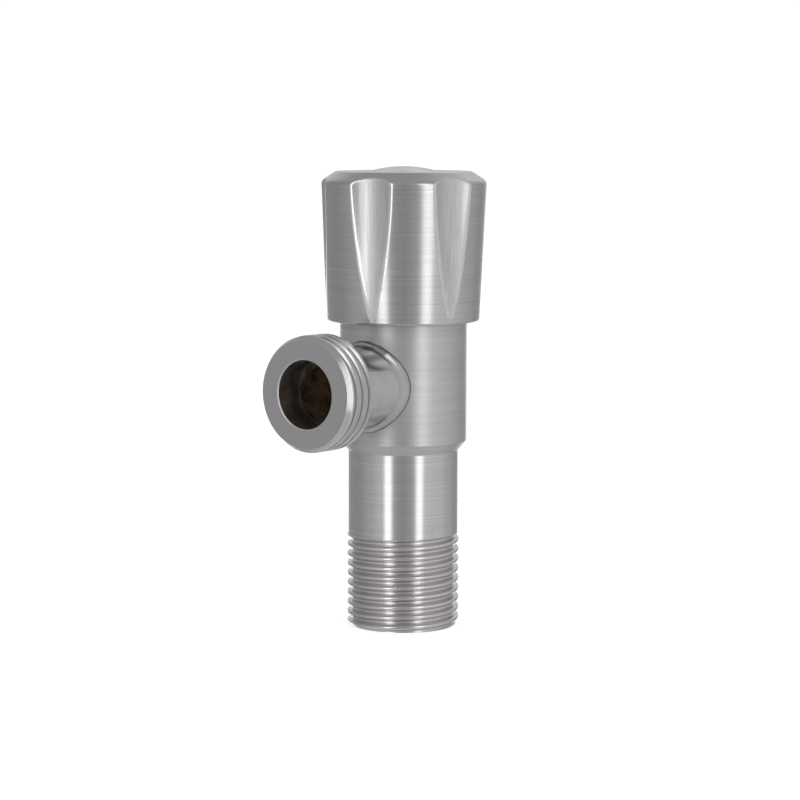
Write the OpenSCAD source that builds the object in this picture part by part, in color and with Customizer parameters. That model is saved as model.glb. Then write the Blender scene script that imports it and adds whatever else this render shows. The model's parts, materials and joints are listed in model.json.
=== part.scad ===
// Angle stop valve with a quarter-turn ceramic cartridge.
// The origin is the centre of the inlet's end face. +Z runs up the valve's axis to the handle,
// and the outlet leaves along -Y. Distances along the outlet are measured from the valve's axis.

/* [Threads] */
// Crest diameter of the inlet and outlet threads, just under the nominal 20.955 of G 1/2
thread_d = 20.86; // [20.80:0.02:20.94]
// Distance from one turn of thread to the next
thread_pitch = 1.814; // [1.75:0.002:1.85]
// Depth of the thread from crest to root
thread_depth = 1.16; // [0.90:0.02:1.20]
// Turns of thread on the inlet
inlet_turns = 9; // [6:1:11]
// Turns of thread on the outlet
outlet_turns = 3; // [2:1:3]

/* [Body] */
// Diameter of the plain neck above the inlet thread
neck_d = 20.52; // [20.20:0.02:20.52]
// Height at which the shoulder starts
neck_top = 32.8; // [31.5:0.1:34.0]
// Outer diameter of the body
body_d = 23.4; // [23.2:0.1:24.0]
// Height of the body's top face
body_top = 60; // [59.8:0.1:60.2]
// Diameter of the inlet's bore
inlet_bore_d = 14; // [12.5:0.5:15.0]

/* [Outlet] */
// Height of the outlet's axis
outlet_z = 45.2; // [44.5:0.1:45.8]
// Distance of the outlet's end face from the valve's axis
outlet_reach = 28.3; // [27.5:0.1:30.0]
// Diameter of the outlet's mouth
outlet_bore_d = 12.2; // [11.4:0.2:13.0]
// Diameter of the plain barrel between the outlet's thread and the body
barrel_d = 14.9; // [14.4:0.1:15.4]

/* [Handle] */
// Height of the skirt's lower edge
handle_foot_z = 56.7; // [56.0:0.1:57.5]
// Diameter of the handle at its lower edge
handle_foot_d = 28.3; // [28.0:0.1:29.0]
// Height of the handle's widest circle
handle_rim_z = 82.2; // [81.8:0.1:82.6]
// Diameter of the handle at its widest circle
handle_rim_d = 30.8; // [30.4:0.1:31.6]
// Height of the flat on top
handle_top_z = 84.05; // [83.9:0.05:84.4]
// Diameter of the flat on top
handle_top_d = 25.0; // [24.0:0.1:26.0]
// Number of flutes for the fingers
flute_count = 6; // [5:1:7]
// Depth of a flute at the rim
flute_depth = 1.3; // [1.1:0.1:1.5]
// Height of the domed cap above the flat
cap_rise = 0.9; // [0.5:0.1:1.2]

/* [Cartridge] */
// Nominal diameter of the thread that holds the cartridge
cartridge_thread_d = 19.9; // [19.8:0.1:20.0]
// Distance across the flats of the cartridge's hexagon
hex_across_flats = 19; // [18:0.5:19]
// Diameter of the spindle's round stem
stem_d = 10; // [9.6:0.1:10]
// Angle from shut to fully open
quarter_turn = 90; // [80:1:90]

/* [Hidden] */
$fn = 96;

// Steel, brass and the other finishes
steel = [0.74, 0.74, 0.75];
polished_steel = [0.80, 0.80, 0.81];
brass = [0.80, 0.66, 0.36];
ceramic = [0.93, 0.92, 0.88];
rubber = [0.10, 0.10, 0.10];
nylon = [0.92, 0.92, 0.90];

// Overshoot that lets a cut run clear of the surface it opens
over = 0.5;
// Running clearance between the spindle and the bonnet, on the radius
running_gap = 0.06;
// Gap between parts that are assembled with play
loose_gap = 0.1;
// Gap between faces that slide on each other
face_gap = 0.02;

// Pipe threads
flank_angle = 27.5;
thread_r = thread_d / 2;
end_chamfer_l = 0.9;
inlet_end_r = 9.65;
outlet_face_r = 9.73;
outlet_bevel_l = 0.8;

// Body
neck_r = neck_d / 2;
body_r = body_d / 2;
body_edge = 0.4;
shoulder_l = 1.8;
mouth_chamfer = 0.4;
inlet_bore_r = inlet_bore_d / 2;
throat_r = 5.5;
throat_z = 31;
seat_z = 36;
chamber_r = 9.4;

// Outlet
outlet_bore_r = outlet_bore_d / 2;
outlet_bore_l = 5.4;
outlet_way_r = 5.5;
barrel_r = barrel_d / 2;
spigot_r = 7;
spigot_start = 9.9;
outlet_last_crest_l = 0.12;
outlet_head_l = outlet_bevel_l + outlet_turns * thread_pitch + outlet_last_crest_l;
outlet_head_start = outlet_reach - outlet_head_l;
weld_r = 8.3;
weld_flat = 11.95;
weld_slope_l = 0.8;

// Cartridge, from its lower end upwards
cartridge_r = cartridge_thread_d / 2;
cartridge_pitch = 1;
cartridge_thread_depth = 0.6;
cartridge_thread_turns = 7;
cartridge_thread_z = body_top - 8;
cartridge_foot_z = seat_z + 0.6;
cartridge_barrel_r = 8.6;
disc_bore_r = 7.6;
bonnet_ceiling = 50.85;
gasket_t = 0.6;
flange_r = 11.2;
flange_t = 1.4;
bonnet_top = body_top + 6;
window_w = 10;
window_z = 43.2;
window_h = 5.4;
stop_lug_inner_r = 6.9;
stop_lug_outer_r = 9;
stop_lug_h = 1.4;

// Seal and ceramic discs
seal_inner_r = 5.2;
seal_h = 3.2;
support_outer_r = 5.9;
support_lift = 0.5;
support_h = 2.2;
fixed_disc_z = seat_z + seal_h;
fixed_disc_t = 2.8;
disc_r = disc_bore_r - loose_gap;
moving_disc_z = fixed_disc_z + fixed_disc_t + face_gap;
moving_disc_t = 2.6;
disc_port_inner_r = 1.9;
disc_port_outer_r = 5.5;
disc_port_angle = 76;
disc_ear_w = 3;
disc_ear_r = 8.4;

// Spindle, from the driving key upwards
key_w = 3;
key_depth = 1.1;
key_half_l = 6.2;
key_z = moving_disc_z + moving_disc_t - key_depth;
spindle_shoulder_z = 47.6;
spindle_shoulder_r = 7;
thrust_washer_t = 0.6;
thrust_washer_r = 7.2;
spindle_shoulder_top = bonnet_ceiling - thrust_washer_t - 0.05;
stem_r = stem_d / 2;
stem_bore_r = stem_r + running_gap;
oring_section_r = 0.8;
oring_squeeze_gap = 0.03;
oring_centre_r = stem_bore_r - oring_squeeze_gap - oring_section_r;
oring_groove_w = 2;
oring_lower_z = 54;
oring_upper_z = 57.4;
stop_washer_z = bonnet_top + loose_gap;
stop_washer_t = 1;
stop_washer_r = 6.6;
stop_ear_r = 8.7;
stop_ear_angle = 30;
stop_play_angle = 1;
flat_r = 4.6;
flat_half_w = 3.6;
clip_z = stop_washer_z + stop_washer_t + 0.05;
clip_t = 0.7;
clip_groove_r = 3.4;
clip_outer_r = 5.8;
clip_mouth_angle = 70;
spline_teeth = 20;
spline_r = 4;
spline_depth = 0.4;
spline_z = clip_z + clip_t + 0.05;
spline_top = bonnet_top + 10.5;

// Handle and what is inside it
handle_foot_r = handle_foot_d / 2;
handle_rim_r = handle_rim_d / 2;
handle_top_r = handle_top_d / 2;
handle_foot_round = 0.45;
rim_round = 1.1;
top_round = 0.7;
cavity_r = 12.3;
cavity_top = 80.45;
key_count = 3;
shell_key_w = 1.6;
shell_key_depth = 0.8;
shell_key_z = 72;
flute_turn = 44.6;
flute_cutter_r = 10;
insert_r = cavity_r - loose_gap;
insert_rim_t = 1.2;
insert_rim_z = 70.5;
insert_hub_r = 6.4;
insert_hub_z = 68.9;
insert_plate_z = 77.6;
insert_rib_t = 1.4;
insert_rib_z = 71.5;
insert_rib_count = 6;
spline_bore_top = spline_top + 0.5;
screw_seat_z = 78.4;
screw_well_r = 4.6;
screw_hole_r = 2.25;
cap_r = 6.5;
cap_hole_r = cap_r + 0.05;
cap_wall = 0.9;
cap_plate_t = 1.05;

// Handle screw
screw_r = 2;
screw_pitch = 0.7;
screw_thread_depth = 0.4;
screw_thread_turns = 12;
screw_head_r = 3.8;
screw_head_h = 2.2;
screw_recess_w = 1;
screw_recess_l = 4;
screw_recess_depth = 1.2;
screw_tap_gap = 0.03;
lock_washer_t = 0.8;
lock_washer_r = 3.5;
lock_washer_split = 0.8;
screw_tip_z = screw_seat_z + lock_washer_t - screw_thread_turns * screw_pitch - 1.6;
screw_hole_end_z = screw_tip_z - 1.2;

// Points on a circular arc in the profile plane, from angle a0 to a1
function arc(centre, r, a0, a1, steps = 6) = [
    for (i = [0 : steps])
        let (a = a0 + (a1 - a0) * i / steps)
        centre + r * [cos(a), sin(a)]
];

// Profile of ring-shaped thread ridges, each turn a crest, a flank, a root and a flank.
// from is the height of the first crest's lower edge.
function ridges(crest_r, depth, pitch, turns, from) =
    let (flank = depth * tan(flank_angle), flat = pitch / 2 - flank)
    [
        for (i = [0 : turns - 1])
            let (z = from + i * pitch)
            each [
                [crest_r, z],
                [crest_r, z + flat],
                [crest_r - depth, z + flat + flank],
                [crest_r - depth, z + 2 * flat + flank]
            ]
    ];

// Round corner between two straight lines of a profile: from p to q to s, with radius r
function round_corner(p, q, s, r) =
    let (
        u = (p - q) / norm(p - q),
        v = (s - q) / norm(s - q),
        half = acos(u * v) / 2,
        centre = q + (u + v) / norm(u + v) * r / sin(half),
        start = q + u * r / tan(half) - centre,
        end = q + v * r / tan(half) - centre,
        a0 = atan2(start[1], start[0]),
        turn = atan2(start[0] * end[1] - start[1] * end[0], start * end)
    )
    arc(centre, r, a0, a0 + turn);

// Lays a shape that is drawn along +Z along the outlet, out of the body
module along_outlet() {
    translate([0, 0, outlet_z]) rotate([90, 0, 0]) children();
}

// Ring with a plain bore
module ring(inner_r, outer_r, h) {
    difference() {
        cylinder(r = outer_r, h = h);
        translate([0, 0, -over]) cylinder(r = inner_r, h = h + 2 * over);
    }
}

// Flat slice of a circle that spans the angle a, centred on +X; a stays under 180
module slice(r, a) {
    far = 2 * r / cos(a / 2);
    intersection() {
        circle(r = r);
        polygon([[0, 0], far * [cos(a / 2), -sin(a / 2)], far * [cos(a / 2), sin(a / 2)]]);
    }
}

// Stack of thread ridges as a solid, used as a screw's thread or as the tool that taps a hole
module thread_core(crest_r, depth, pitch, turns) {
    rotate_extrude()
        polygon(concat([[0, 0]], ridges(crest_r, depth, pitch, turns, 0),
            [[crest_r - depth, turns * pitch], [0, turns * pitch]]));
}

// Outline of the spindle's spline, grown by gap
module spline_outline(gap) {
    difference() {
        circle(r = spline_r + gap);
        for (i = [0 : spline_teeth - 1])
            rotate(i * 360 / spline_teeth)
                translate([spline_r + gap, 0])
                    rotate(45) square((spline_depth - gap) * sqrt(2), center = true);
    }
}

// Two flats on a round section, grown by gap
module double_flat(gap) {
    intersection() {
        circle(r = flat_r + gap);
        square([4 * flat_r, 2 * (flat_half_w + gap)], center = true);
    }
}

// Inlet, neck, shoulder and barrel in one turned piece, with the seat and the chamber inside
module valve_body() {
    outline = concat(
        [[0, 0], [inlet_end_r, 0]],
        ridges(thread_r, thread_depth, thread_pitch, inlet_turns, end_chamfer_l),
        [
            [neck_r, end_chamfer_l + inlet_turns * thread_pitch],
            [neck_r, neck_top],
            [body_r, neck_top + shoulder_l],
            [body_r, body_top - body_edge],
            [body_r - body_edge, body_top],
            [0, body_top]
        ]
    );
    color(steel) difference() {
        rotate_extrude() polygon(outline);
        translate([0, 0, -over]) cylinder(r = inlet_bore_r, h = throat_z + over);
        translate([0, 0, -mouth_chamfer])
            cylinder(r1 = inlet_bore_r + 2 * mouth_chamfer, r2 = inlet_bore_r, h = 2 * mouth_chamfer);
        translate([0, 0, throat_z - over]) cylinder(r = throat_r, h = seat_z - throat_z + 2 * over);
        translate([0, 0, seat_z]) cylinder(r = chamber_r, h = body_top - seat_z + over);
        translate([0, 0, cartridge_thread_z])
            thread_core(cartridge_r + loose_gap, cartridge_thread_depth, cartridge_pitch,
                cartridge_thread_turns);
        along_outlet() cylinder(r = spigot_r, h = body_d);
    }
}

// Turned outlet: a threaded head, a plain barrel coped to the body, and a spigot in its side hole
module outlet_nipple() {
    head = concat(
        [[0, 0], [outlet_face_r, 0]],
        ridges(thread_r, thread_depth, thread_pitch, outlet_turns, outlet_bevel_l),
        [[thread_r, outlet_head_l - outlet_last_crest_l], [thread_r, outlet_head_l], [0, outlet_head_l]]
    );
    color(polished_steel) difference() {
        union() {
            along_outlet() translate([0, 0, outlet_reach]) mirror([0, 0, 1])
                rotate_extrude() polygon(head);
            difference() {
                along_outlet() cylinder(r = barrel_r, h = outlet_head_start + over);
                cylinder(r = body_r, h = body_top);
            }
            along_outlet() translate([0, 0, spigot_start])
                cylinder(r = spigot_r, h = body_r - spigot_start + over);
        }
        along_outlet() cylinder(r = outlet_way_r, h = outlet_reach);
        along_outlet() translate([0, 0, outlet_reach - outlet_bore_l])
            cylinder(r = outlet_bore_r, h = outlet_bore_l + over);
        along_outlet() translate([0, 0, outlet_reach - mouth_chamfer])
            cylinder(r1 = outlet_bore_r, r2 = outlet_bore_r + 2 * mouth_chamfer, h = 2 * mouth_chamfer);
    }
}

// Weld bead that follows the saddle where the outlet's barrel meets the body
module outlet_weld() {
    color(polished_steel) difference() {
        along_outlet() union() {
            cylinder(r = weld_r, h = weld_flat);
            translate([0, 0, weld_flat]) cylinder(r1 = weld_r, r2 = barrel_r, h = weld_slope_l);
        }
        cylinder(r = body_r, h = body_top);
        along_outlet() cylinder(r = barrel_r, h = outlet_reach);
    }
}

// Cartridge housing: windowed barrel for the discs, thread, flange, hexagon and stop lug
module cartridge_body() {
    barrel_h = cartridge_thread_z - cartridge_foot_z;
    thread_top = cartridge_thread_z + cartridge_thread_turns * cartridge_pitch;
    flange_z = body_top + gasket_t;
    ear_slot_h = fixed_disc_z + fixed_disc_t - cartridge_foot_z + over;
    color(brass) difference() {
        union() {
            translate([0, 0, cartridge_foot_z]) cylinder(r = cartridge_barrel_r, h = barrel_h);
            translate([0, 0, cartridge_thread_z])
                thread_core(cartridge_r, cartridge_thread_depth, cartridge_pitch, cartridge_thread_turns);
            translate([0, 0, thread_top])
                cylinder(r = cartridge_r - cartridge_thread_depth, h = flange_z - thread_top);
            translate([0, 0, flange_z]) cylinder(r = flange_r, h = flange_t);
            translate([0, 0, flange_z + flange_t])
                cylinder(d = hex_across_flats / cos(30), h = bonnet_top - flange_z - flange_t, $fn = 6);
            translate([0, 0, bonnet_top]) stop_lug();
        }
        translate([0, 0, cartridge_foot_z - over])
            cylinder(r = disc_bore_r, h = bonnet_ceiling - cartridge_foot_z + over);
        translate([0, 0, bonnet_ceiling - over])
            cylinder(r = stem_bore_r, h = bonnet_top - bonnet_ceiling + 2 * over);
        translate([-window_w / 2, -chamber_r, window_z]) cube([window_w, 2 * chamber_r, window_h]);
        translate([-chamber_r, -disc_ear_w / 2 - loose_gap, cartridge_foot_z - over])
            cube([2 * chamber_r, disc_ear_w + 2 * loose_gap, ear_slot_h]);
    }
}

// Raised ring on top of the bonnet, open over the ear's travel; its two ends stop the ear
module stop_lug() {
    linear_extrude(stop_lug_h) difference() {
        circle(r = stop_lug_outer_r);
        circle(r = stop_lug_inner_r);
        rotate(quarter_turn / 2)
            slice(2 * stop_lug_outer_r, quarter_turn + stop_ear_angle + 2 * stop_play_angle);
    }
}

// Flat gasket between the cartridge's flange and the body's top face
module bonnet_gasket() {
    color(rubber) translate([0, 0, body_top])
        ring(cartridge_r + 2 * loose_gap, flange_r, gasket_t);
}

// Rubber ring that the cartridge presses on the seat, with a step for its support ring
module seat_seal() {
    color(rubber) translate([0, 0, seat_z]) difference() {
        ring(seal_inner_r, disc_bore_r - face_gap, seal_h);
        translate([0, 0, support_lift]) cylinder(r = support_outer_r, h = support_h);
    }
}

// Stiff ring that keeps the seal's inner edge round
module seal_support_ring() {
    color(nylon) translate([0, 0, seat_z + support_lift])
        ring(seal_inner_r, support_outer_r, support_h);
}

// Disc with two ports, one each side of the X axis when turn is 90, of the Y axis when it is 0
module ported_disc(t, turn) {
    linear_extrude(t) difference() {
        circle(r = disc_r);
        for (side = [0, 180])
            rotate(turn + side) difference() {
                slice(disc_port_outer_r, disc_port_angle);
                circle(r = disc_port_inner_r);
            }
    }
}

// Lower ceramic disc, held still by two ears in the cartridge's slots
module fixed_disc() {
    ear_l = disc_ear_r - disc_r + 0.4;
    color(ceramic) translate([0, 0, fixed_disc_z]) union() {
        ported_disc(fixed_disc_t, 90);
        for (side = [0, 180])
            rotate(side) translate([disc_ear_r - ear_l, -disc_ear_w / 2, 0])
                cube([ear_l, disc_ear_w, fixed_disc_t]);
    }
}

// Upper ceramic disc, shut at rest, with a slot across its top for the spindle's key
module moving_disc() {
    color(ceramic) difference() {
        translate([0, 0, moving_disc_z]) ported_disc(moving_disc_t, 0);
        translate([-key_w / 2, -disc_bore_r, key_z]) cube([key_w, 2 * disc_bore_r, key_depth + over]);
    }
}

// Low-friction washer between the spindle's shoulder and the bonnet's ceiling
module thrust_washer() {
    color(nylon) translate([0, 0, bonnet_ceiling - thrust_washer_t])
        ring(stem_r + loose_gap, thrust_washer_r, thrust_washer_t);
}

// Spindle: driving key, shoulder, stem with two seal grooves, flats, clip groove and spline
module spindle() {
    tap_r = screw_r - screw_thread_depth + screw_tap_gap;
    color(brass) difference() {
        union() {
            translate([-key_w / 2 + face_gap, -key_half_l, key_z])
                cube([key_w - 2 * face_gap, 2 * key_half_l, spindle_shoulder_z - key_z]);
            translate([0, 0, spindle_shoulder_z])
                cylinder(r = spindle_shoulder_r, h = spindle_shoulder_top - spindle_shoulder_z);
            translate([0, 0, spindle_shoulder_top])
                cylinder(r = stem_r, h = stop_washer_z - spindle_shoulder_top);
            translate([0, 0, stop_washer_z]) linear_extrude(spline_z - stop_washer_z) double_flat(0);
            translate([0, 0, spline_z]) linear_extrude(spline_top - spline_z) spline_outline(0);
        }
        for (z = [oring_lower_z, oring_upper_z])
            translate([0, 0, z - oring_groove_w / 2])
                ring(oring_centre_r - oring_section_r, stem_r + over, oring_groove_w);
        translate([0, 0, clip_z - 0.05]) ring(clip_groove_r, stem_r + over, spline_z - clip_z + 0.05);
        screw_thread(screw_tap_gap);
        translate([0, 0, screw_hole_end_z])
            cylinder(r = tap_r, h = spline_top - screw_hole_end_z + over);
    }
}

// O-ring that seals the spindle in the bonnet
module spindle_oring(z) {
    color(rubber) translate([0, 0, z])
        rotate_extrude() translate([oring_centre_r, 0]) circle(r = oring_section_r, $fn = 48);
}

module spindle_oring_lower() {
    spindle_oring(oring_lower_z);
}

module spindle_oring_upper() {
    spindle_oring(oring_upper_z);
}

// Washer on the spindle's flats; its ear travels between the ends of the stop lug
module stop_washer() {
    color(brass) translate([0, 0, stop_washer_z]) linear_extrude(stop_washer_t) difference() {
        union() {
            circle(r = stop_washer_r);
            slice(stop_ear_r, stop_ear_angle);
        }
        double_flat(0.03);
    }
}

// Spring clip in the spindle's groove, which stops the spindle from dropping
module retaining_clip() {
    color(polished_steel) translate([0, 0, clip_z]) linear_extrude(clip_t) difference() {
        circle(r = clip_outer_r);
        circle(r = clip_groove_r + 0.05);
        rotate(90) slice(2 * clip_outer_r, clip_mouth_angle);
    }
}

// Cylinder that cuts one flute, on +X: its inner edge is the flute's valley, which leans inwards
module flute_cutter() {
    climb = handle_rim_z - handle_foot_z;
    lean = atan((handle_foot_r - handle_rim_r + flute_depth) / climb);
    translate([handle_foot_r, 0, handle_foot_z])
        rotate([0, -lean, 0])
            translate([flute_cutter_r, 0, -over]) cylinder(r = flute_cutter_r, h = climb + 6);
}

// Handle's outer shell: a flared, fluted skirt with a rounded rim, sloped shoulder and flat top
module handle_shell() {
    foot_inner = [cavity_r, handle_foot_z];
    foot = [handle_foot_r, handle_foot_z];
    rim = [handle_rim_r, handle_rim_z];
    brow = [handle_top_r, handle_top_z];
    top_centre = [0, handle_top_z];
    outline = concat(
        [[0, handle_foot_z], foot_inner],
        round_corner(foot_inner, foot, rim, handle_foot_round),
        round_corner(foot, rim, brow, rim_round),
        round_corner(rim, brow, top_centre, top_round),
        [top_centre]
    );
    color(steel) union() {
        difference() {
            rotate_extrude() polygon(outline);
            translate([0, 0, handle_foot_z - over])
                cylinder(r = cavity_r, h = cavity_top - handle_foot_z + over);
            translate([0, 0, cavity_top - over])
                cylinder(r = cap_hole_r, h = handle_top_z - cavity_top + 2 * over);
            for (i = [0 : flute_count - 1])
                rotate(flute_turn + i * 360 / flute_count) flute_cutter();
        }
        for (i = [0 : key_count - 1])
            rotate(i * 360 / key_count) shell_key(cavity_r + 0.3, 0);
    }
}

// Key inside the shell, on +X, or the notch for it when gap is not 0
module shell_key(outer_r, gap) {
    inner_r = cavity_r - shell_key_depth - gap;
    translate([inner_r, -shell_key_w / 2 - gap, shell_key_z - gap])
        cube([outer_r - inner_r, shell_key_w + 2 * gap, cavity_top - shell_key_z + 0.2 + gap]);
}

// Moulded core that fills the shell and grips the spindle's spline
module handle_insert() {
    plate_top = cavity_top - 0.05;
    rib_start = insert_hub_r - 0.5;
    rib_end = insert_r - insert_rim_t + 0.5;
    color(nylon) difference() {
        union() {
            translate([0, 0, insert_plate_z]) cylinder(r = insert_r, h = plate_top - insert_plate_z);
            translate([0, 0, insert_hub_z]) cylinder(r = insert_hub_r, h = plate_top - insert_hub_z);
            translate([0, 0, insert_rim_z])
                ring(insert_r - insert_rim_t, insert_r, plate_top - insert_rim_z);
            for (i = [0 : insert_rib_count - 1])
                rotate((i + 0.5) * 360 / insert_rib_count)
                    translate([rib_start, -insert_rib_t / 2, insert_rib_z])
                        cube([rib_end - rib_start, insert_rib_t, plate_top - insert_rib_z]);
        }
        for (i = [0 : key_count - 1])
            rotate(i * 360 / key_count) shell_key(cavity_r + over, loose_gap);
        translate([0, 0, insert_hub_z - over])
            linear_extrude(spline_bore_top - insert_hub_z + over) spline_outline(0.04);
        cylinder(r = screw_hole_r, h = handle_top_z);
        translate([0, 0, screw_seat_z]) cylinder(r = screw_well_r, h = handle_top_z - screw_seat_z);
    }
}

// Thread of the handle's screw, grown by gap when it taps the spindle's hole
module screw_thread(gap) {
    translate([0, 0, screw_tip_z])
        thread_core(screw_r + gap, screw_thread_depth, screw_pitch, screw_thread_turns);
}

// Pan-head screw that holds the handle down on the spindle
module handle_screw() {
    head_z = screw_seat_z + lock_washer_t;
    shank_z = screw_tip_z + screw_thread_turns * screw_pitch;
    edge = 0.9;
    color(polished_steel) difference() {
        union() {
            screw_thread(0);
            translate([0, 0, shank_z]) cylinder(r = screw_r - screw_thread_depth, h = head_z - shank_z);
            translate([0, 0, head_z]) cylinder(r = screw_head_r, h = screw_head_h - edge);
            translate([0, 0, head_z + screw_head_h - edge])
                cylinder(r1 = screw_head_r, r2 = screw_head_r - edge, h = edge);
        }
        for (turn = [0, 90])
            translate([0, 0, head_z + screw_head_h - screw_recess_depth / 2 + over / 2])
                rotate(turn) cube([screw_recess_l, screw_recess_w, screw_recess_depth + over], center = true);
    }
}

// Split spring washer under the screw's head
module lock_washer() {
    color(polished_steel) difference() {
        translate([0, 0, screw_seat_z]) ring(screw_r + 0.15, lock_washer_r, lock_washer_t);
        translate([0, -lock_washer_split / 2, screw_seat_z - over])
            cube([lock_washer_r + over, lock_washer_split, lock_washer_t + 2 * over]);
    }
}

// Domed cap with a skirt that presses into the hole over the screw
module handle_cap() {
    dome_r = (cap_r * cap_r + cap_rise * cap_rise) / (2 * cap_rise);
    color(steel) difference() {
        union() {
            translate([0, 0, cavity_top]) cylinder(r = cap_r, h = handle_top_z - cavity_top);
            intersection() {
                translate([0, 0, handle_top_z + cap_rise - dome_r]) sphere(r = dome_r);
                translate([0, 0, handle_top_z - 0.2]) cylinder(r = cap_r, h = cap_rise + 1);
            }
        }
        translate([0, 0, cavity_top - over])
            cylinder(r = cap_r - cap_wall, h = handle_top_z - cap_plate_t - cavity_top + over);
    }
}

valve_body();
outlet_nipple();
outlet_weld();
cartridge_body();
bonnet_gasket();
seat_seal();
seal_support_ring();
fixed_disc();
moving_disc();
thrust_washer();
spindle();
spindle_oring_lower();
spindle_oring_upper();
stop_washer();
retaining_clip();
handle_shell();
handle_insert();
handle_screw();
lock_washer();
handle_cap();
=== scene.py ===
"""Looks and studio for an angle stop valve in brushed stainless steel.

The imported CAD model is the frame. Its threads are plain rings, so the outside pieces are made again here as
turned meshes: threads on a true helix, a knob with softened flutes, and a weld bead. The pieces inside the
valve keep their CAD shape and get a finish. Shapes are worked out in millimetres, and become metres when a
mesh is made.
"""
import json
from math import acos, asin, atan2, ceil, cos, floor, hypot, pi, radians, sin, sqrt, tan

import bmesh
import bpy
from mathutils import Matrix, Vector


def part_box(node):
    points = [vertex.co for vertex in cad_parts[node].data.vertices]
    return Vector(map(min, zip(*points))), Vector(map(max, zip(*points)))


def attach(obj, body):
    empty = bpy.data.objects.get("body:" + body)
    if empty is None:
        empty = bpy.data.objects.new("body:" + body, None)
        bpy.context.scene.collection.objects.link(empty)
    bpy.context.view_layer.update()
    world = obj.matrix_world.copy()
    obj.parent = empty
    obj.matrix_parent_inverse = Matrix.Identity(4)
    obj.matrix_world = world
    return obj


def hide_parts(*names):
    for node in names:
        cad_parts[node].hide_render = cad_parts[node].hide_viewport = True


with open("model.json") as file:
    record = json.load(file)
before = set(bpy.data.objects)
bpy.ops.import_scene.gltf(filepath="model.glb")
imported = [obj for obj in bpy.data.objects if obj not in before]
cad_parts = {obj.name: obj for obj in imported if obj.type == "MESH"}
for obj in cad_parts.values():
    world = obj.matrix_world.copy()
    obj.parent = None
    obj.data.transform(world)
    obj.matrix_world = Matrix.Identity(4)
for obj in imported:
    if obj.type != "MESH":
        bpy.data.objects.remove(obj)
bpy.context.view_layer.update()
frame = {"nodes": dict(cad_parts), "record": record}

MM = 0.001
# Columns of points around a turned piece
COLUMNS = 224


def node_box(name):
    """Lowest and highest corner of a CAD node, in millimetres."""
    low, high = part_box(name)
    return low / MM, high / MM


mounts = {mount["name"]: mount for mount in frame["record"]["mounts"]}
_, body_high = node_box("valve_body")
outlet_low, outlet_high = node_box("outlet_nipple")
shell_low, shell_high = node_box("handle_shell")
_, cap_high = node_box("handle_cap")

# Threads
THREAD_R = mounts["inlet_thread"]["dims"]["r_mm"]
PITCH = 1.814
FLANK = radians(27.5)
# Rounding of crests and roots, of the edge between a crest and its flank, and of a thread's end chamfer
THREAD_ROUND = 0.34
CREST_SOFTNESS = 0.08
CHAMFER_SOFTNESS = 0.12
THREAD_DEPTH = PITCH / 2 / tan(FLANK) - 2 * THREAD_ROUND * (1 / sin(FLANK) - 1)

# Body
BODY_R = body_high.x
BODY_TOP = body_high.z
NECK_R = 10.26
SHOULDER_Z = 32.8
SHOULDER_L = 1.8
NECK_ROUND = 0.35
SHOULDER_ROUND = 0.3
BODY_TOP_ROUND = 0.35
INLET_BORE_R = mounts["inlet_bore"]["dims"]["r_mm"]
INLET_FACE_R = 9.65
INLET_CHAMFER_L = 0.9
INLET_MOUTH = 0.4
INLET_THREAD_END = 17.23
INLET_GROOVE_Z = 16.76
# Heights over which the thread's crest meets the neck, and over which its last groove fades out
CREST_END_L = 0.15
GROOVE_FADE_Z = 16.85
GROOVE_FADE_L = 0.45
THROAT_R = 5.5
THROAT_Z = 31
SEAT_Z = 36
CHAMBER_R = 9.4

# Thread that holds the cartridge, as in the CAD model
TAPPED_R = 10.05
TAPPED_DEPTH = 0.6
TAPPED_PITCH = 1
TAPPED_TURNS = 7
TAPPED_Z = BODY_TOP - 8

# Outlet
OUTLET_Z = (outlet_low.z + outlet_high.z) / 2
OUTLET_REACH = -outlet_low.y
OUTLET_FACE_R = 9.73
OUTLET_BEVEL_L = 0.95
OUTLET_TRUNCATION = 0.4
# Distances from the valve's axis of the threaded head's back and of one groove's centre
OUTLET_HEAD_S = 21.938
OUTLET_GROOVE_S = 24.70
HEAD_CORNER_ROUND = 0.3
OUTLET_BORE_R = mounts["outlet_bore"]["dims"]["r_mm"]
OUTLET_BORE_L = 5.4
OUTLET_LIP_ROUND = 0.25
OUTLET_WAY_R = 5.5
# Depth below the full thread from which its grooves are painted darker, as painted shade in the roots
SHADED_GROOVE_DEPTH = 0.3
BARREL_R = 7.45
SPIGOT_R = 7

# Weld bead. It is slimmer at the sides, where it also runs further out along the barrel.
WELD_R = 8.45
WELD_SIDE_SLIMMING = 0.2
WELD_TOE_L = 1.0
WELD_SIDE_TOE_L = 1.0
WELD_BULGE = 0.5
WELD_SINK = 0.03
# Points from the bead's foot on the body to its toe on the barrel, and rows of faces at its foot that are
# painted dark as painted shade in the crease
WELD_ROWS = 14
PAINTED_SHADE_ROWS = 3
SPIGOT_S = 9.9

# Handle
FOOT_Z = shell_low.z
FOOT_R = 14.15
FOOT_ROUND = 0.45
RIM_Z = 82.2
RIM_R = 15.4
RIM_ROUND = 1.1
TOP_Z = shell_high.z
TOP_R = 12.5
TOP_ROUND = 0.7
CAVITY_R = 12.3
CAVITY_TOP = 80.45
CAP_R = cap_high.x
CAP_TOP = cap_high.z
CAP_WALL = 0.9
CAP_PLATE_T = 1.05
CAP_GAP = 0.05
CAP_EDGE_ROUND = 0.12
FLUTES = 6
FLUTE_TURN = radians(44.6)
FLUTE_DEPTH = 1.3
FLUTE_CUTTER_R = 10
FLUTE_EDGE_W = 1.0
# Share of a flute's rounded edge that is polished and painted lighter as a painted highlight, and the height
# above the foot at which that begins
POLISHED_HIGHLIGHT_SHARE = 0.8
POLISHED_HIGHLIGHT_START = 1
SHELL_KEYS = 3

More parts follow.
